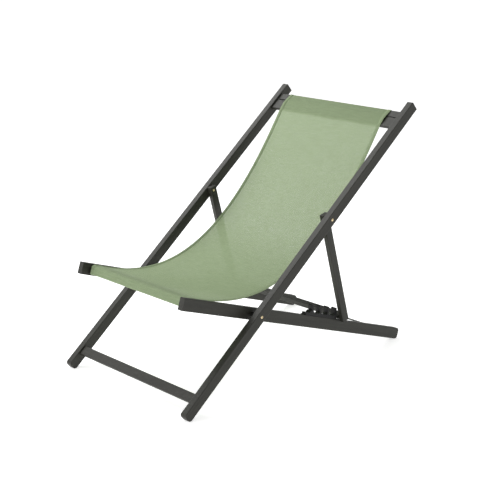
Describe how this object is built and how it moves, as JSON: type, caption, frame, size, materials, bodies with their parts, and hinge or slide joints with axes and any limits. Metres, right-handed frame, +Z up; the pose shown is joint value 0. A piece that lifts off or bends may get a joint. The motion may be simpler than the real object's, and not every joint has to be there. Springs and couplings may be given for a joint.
{
  "type": "folding deck chair",
  "caption": "Wooden folding deck chair with a one-piece woven sling, a seat frame and a back frame that cross, and a prop frame that rests in notched racks.",
  "frame": {"origin": "on the floor, under the middle of the chair's bounding box", "axes": "+Z up, -Y the way the sitter faces, +X the sitter's left"},
  "size_m": [0.584, 0.9696, 0.7945],
  "materials": {
    "frame_wood": "dark grey opaque stain over planed wood, satin",
    "dowel_wood": "bare hardwood",
    "sling_mesh": "sage green coated-yarn mesh, matte",
    "batten": "mill finish",
    "rack": "moulded black plastic, satin",
    "screw": "zinc plated",
    "rod": "black powder coat",
    "spacer": "black nylon",
    "bolt": "brass-coloured plating, satin"
  },
  "bodies": {
    "back_frame": {"back_rail_left": "frame_wood", "back_rail_right": "frame_wood", "top_rail": "frame_wood", "foot_stretcher": "frame_wood", "top_rail_dowels": "dowel_wood", "foot_stretcher_dowels": "dowel_wood", "top_batten": "batten", "sling": "sling_mesh", "seat_pivot_bolts": "bolt", "seat_pivot_spacers": "spacer", "seat_pivot_nuts": "bolt", "prop_pivot_bolts": "bolt", "prop_pivot_washers": "spacer", "prop_pivot_nuts": "bolt"},
    "seat_frame": {"seat_rail_left": "frame_wood", "seat_rail_right": "frame_wood", "front_bar": "frame_wood", "front_bar_dowels": "dowel_wood", "front_batten": "batten", "rear_rod": "rod", "rack_left": "rack", "rack_right": "rack", "rack_screws": "screw"},
    "prop_frame": {"prop_leg_left": "frame_wood", "prop_leg_right": "frame_wood", "prop_crossbar": "frame_wood", "prop_crossbar_dowels": "dowel_wood"}
  },
  "joints": [
    {"name": "seat_fold", "type": "hinge", "parent": "back_frame", "child": "seat_frame", "pos_m": [0, -0.18957, 0.24238], "axis": [1, 0, 0], "range_deg": [0, 54], "deforming": ["sling"]},
    {"name": "prop_swing", "type": "hinge", "parent": "back_frame", "child": "prop_frame", "pos_m": [0, 0.10417, 0.48109], "axis": [1, 0, 0], "range_deg": [0, 111.3]}
  ],
  "couplings": [
    {"joint": "prop_swing", "follows": "seat_fold", "ratio": 2.06}
  ]
}
